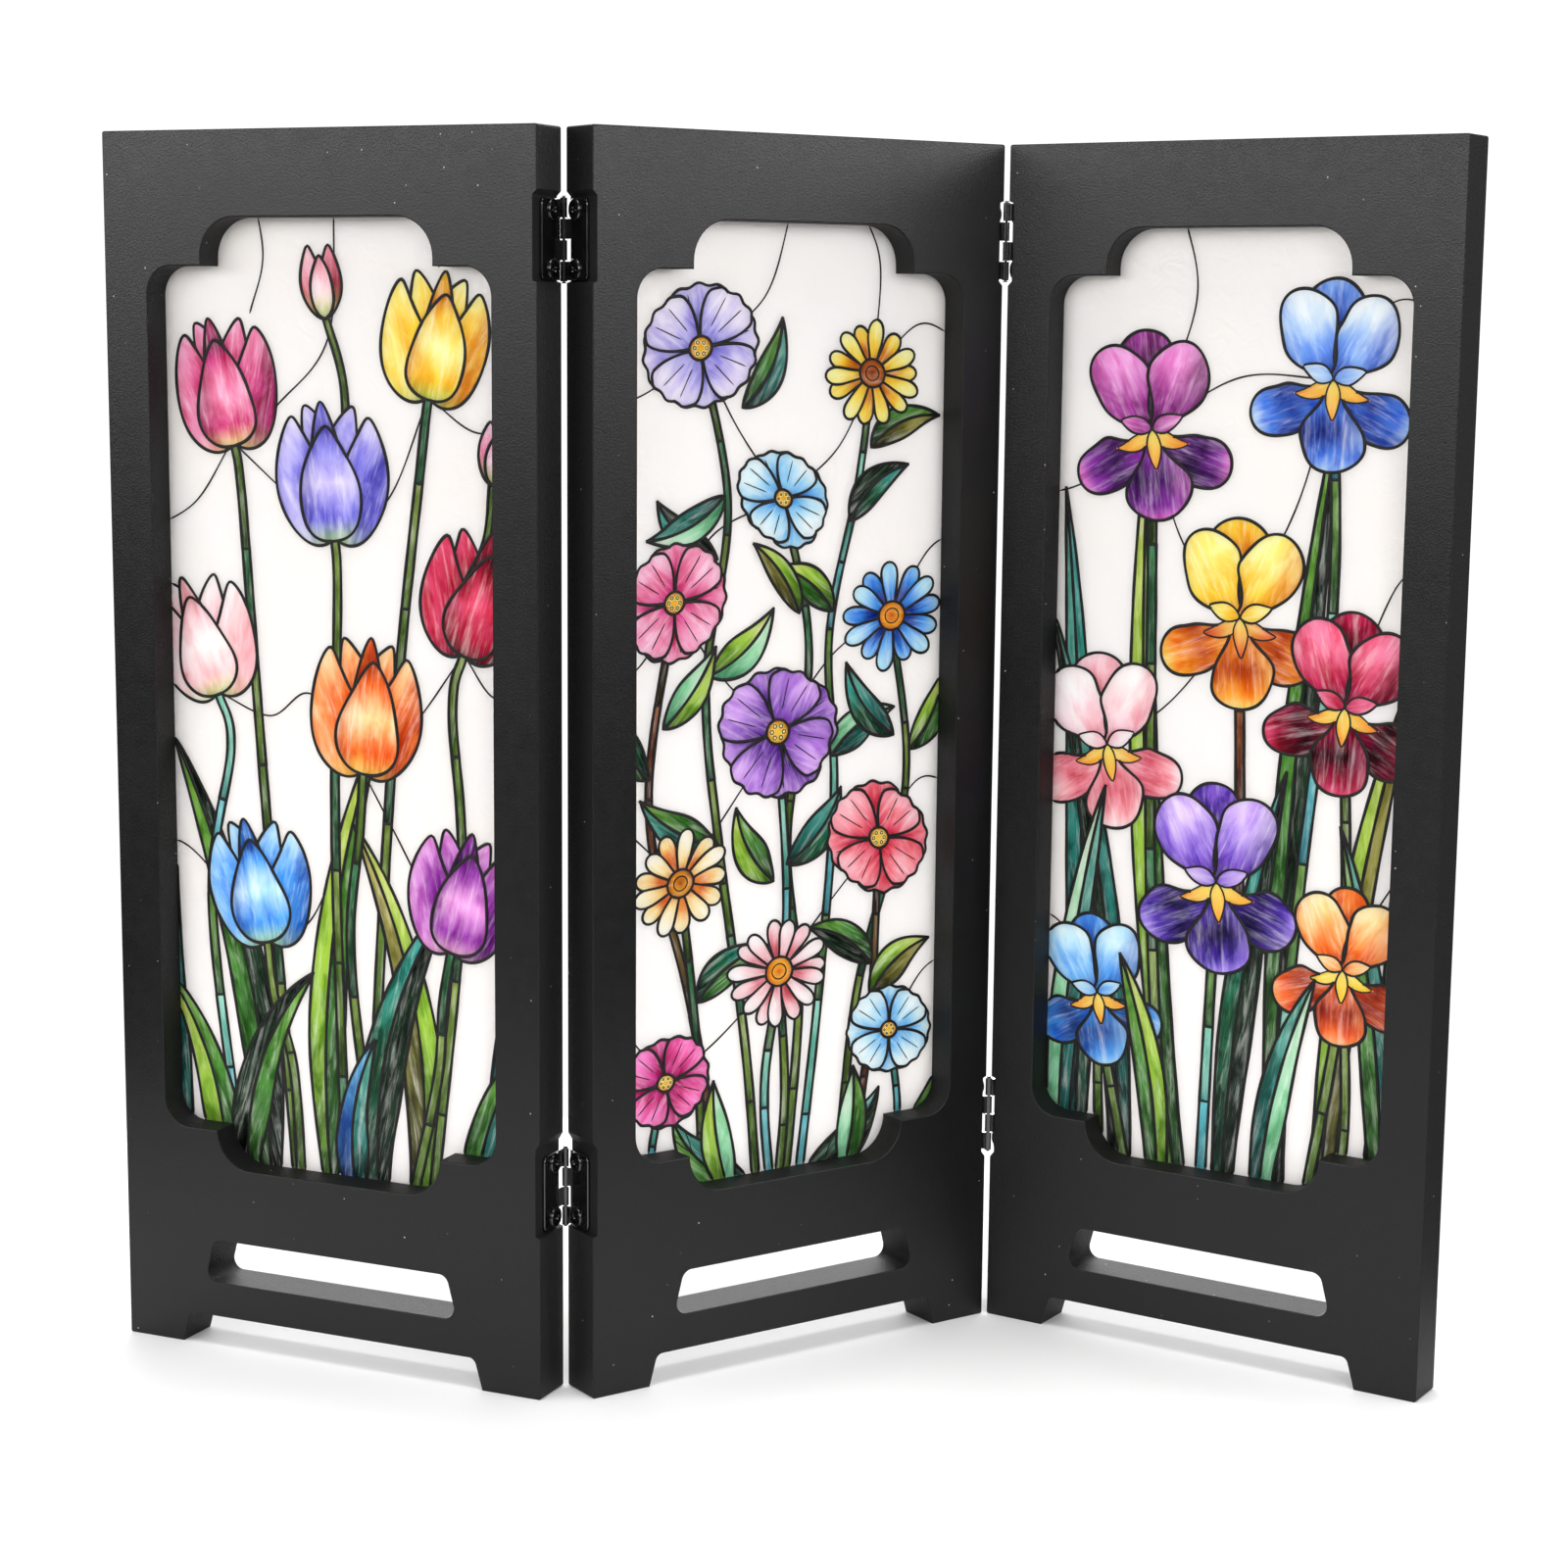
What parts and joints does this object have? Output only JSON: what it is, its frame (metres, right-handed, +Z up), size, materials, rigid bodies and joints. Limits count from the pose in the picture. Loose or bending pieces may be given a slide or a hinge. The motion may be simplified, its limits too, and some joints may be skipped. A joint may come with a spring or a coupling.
{
  "type": "folding desk screen",
  "caption": "Folding tabletop screen that stands in a zigzag: black routed frames with stepped windows, floral leaded-glass style panes, hand slots and short feet, joined by small butt hinges.",
  "frame": {"origin": "on the desk top, at the middle of the standing screen's bounding box", "axes": "+Z up; +X to the right along the row of panels and +Y to the back, as the screen stands in its zigzag"},
  "size_m": [0.3252, 0.0774, 0.3],
  "materials": {
    "board_paint": "satin black paint on fibreboard",
    "pane_glass": "milky acrylic with a printed leaded-glass design",
    "retainer_paint": "matt black painted hardboard",
    "hinge_metal": "glossy black coated steel",
    "screw_metal": "black coated steel",
    "pin_metal": "black coated steel"
  },
  "bodies": {
    "centre_panel": {"centre_board": "board_paint", "centre_pane": "pane_glass", "centre_retainer": "retainer_paint", "centre_retainer_screws": "screw_metal", "centre_hinge_screws": "screw_metal", "left_upper_hinge_inner_leaf": "hinge_metal", "left_upper_hinge_pin": "pin_metal", "left_lower_hinge_inner_leaf": "hinge_metal", "left_lower_hinge_pin": "pin_metal", "right_upper_hinge_inner_leaf": "hinge_metal", "right_upper_hinge_pin": "pin_metal", "right_lower_hinge_inner_leaf": "hinge_metal", "right_lower_hinge_pin": "pin_metal"},
    "left_panel": {"left_board": "board_paint", "left_pane": "pane_glass", "left_retainer": "retainer_paint", "left_retainer_screws": "screw_metal", "left_hinge_screws": "screw_metal", "left_upper_hinge_outer_leaf": "hinge_metal", "left_lower_hinge_outer_leaf": "hinge_metal"},
    "right_panel": {"right_board": "board_paint", "right_pane": "pane_glass", "right_retainer": "retainer_paint", "right_retainer_screws": "screw_metal", "right_hinge_screws": "screw_metal", "right_upper_hinge_outer_leaf": "hinge_metal", "right_lower_hinge_outer_leaf": "hinge_metal"}
  },
  "joints": [
    {"name": "left_fold", "type": "hinge", "parent": "centre_panel", "child": "left_panel", "pos_m": [-0.0492, -0.02719, 0.15], "axis": [0, 0, 1], "range_deg": [-122.4, 57.6]},
    {"name": "right_fold", "type": "hinge", "parent": "centre_panel", "child": "right_panel", "pos_m": [0.05632, 0.0282, 0.15], "axis": [0, 0, 1], "range_deg": [-113.2, 66.8]}
  ]
}
